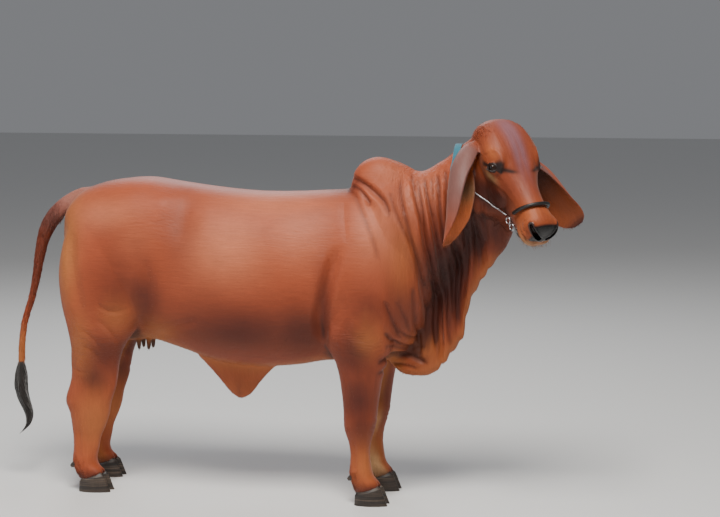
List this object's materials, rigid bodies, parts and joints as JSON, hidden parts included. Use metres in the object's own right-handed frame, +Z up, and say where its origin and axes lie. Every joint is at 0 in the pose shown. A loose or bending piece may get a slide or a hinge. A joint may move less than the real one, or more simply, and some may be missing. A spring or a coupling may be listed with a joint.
{
  "type": "young brahman heifer",
  "caption": "Life-size still model of a young red humped cow with long drooping ears, dewlap, navel flap and a show halter, standing square.",
  "frame": {"origin": "on the floor, under the middle of her length and width", "axes": "+X forwards, from tail to chest; +Y towards her left; +Z up. Her head is turned to her right, towards -Y"},
  "size_m": [2.1434, 0.4958, 1.3863],
  "materials": {
    "coat": "short, flat, glossy red-brown hair",
    "switch_hair": "long, straight black hair",
    "horn": "dark horn, satin",
    "eye": "wet, near-black brown",
    "nose_skin": "moist, finely pebbled black skin",
    "teal_webbing": "woven flat strap",
    "black_leather": "rolled and flat, satin",
    "steel": "polished rings and cord"
  },
  "bodies": {
    "root": {"head": "coat", "nose_pad": "nose_skin", "tail": "coat", "tail_switch": "switch_hair", "foreleg_right": "coat", "claw_foreleg_right_outer": "horn", "dewclaw_foreleg_right_outer": "horn", "claw_foreleg_right_inner": "horn", "dewclaw_foreleg_right_inner": "horn", "foreleg_left": "coat", "claw_foreleg_left_outer": "horn", "dewclaw_foreleg_left_outer": "horn", "claw_foreleg_left_inner": "horn", "dewclaw_foreleg_left_inner": "horn", "hindleg_right": "coat", "claw_hindleg_right_outer": "horn", "dewclaw_hindleg_right_outer": "horn", "claw_hindleg_right_inner": "horn", "dewclaw_hindleg_right_inner": "horn", "hindleg_left": "coat", "claw_hindleg_left_outer": "horn", "dewclaw_hindleg_left_outer": "horn", "claw_hindleg_left_inner": "horn", "dewclaw_hindleg_left_inner": "horn", "neck": "coat", "dewlap": "coat", "hump": "coat", "torso": "coat", "halter_crown_strap": "teal_webbing", "halter_noseband": "black_leather", "halter_chin_strap": "black_leather", "halter_ring_upper_right": "steel", "halter_ring_lower_right": "steel", "halter_cheek_cord_right": "steel", "halter_ring_upper_left": "steel", "halter_ring_lower_left": "steel", "halter_cheek_cord_left": "steel", "eye_right": "eye", "ear_right": "coat", "eye_left": "eye", "ear_left": "coat"}
  },
  "joints": []
}
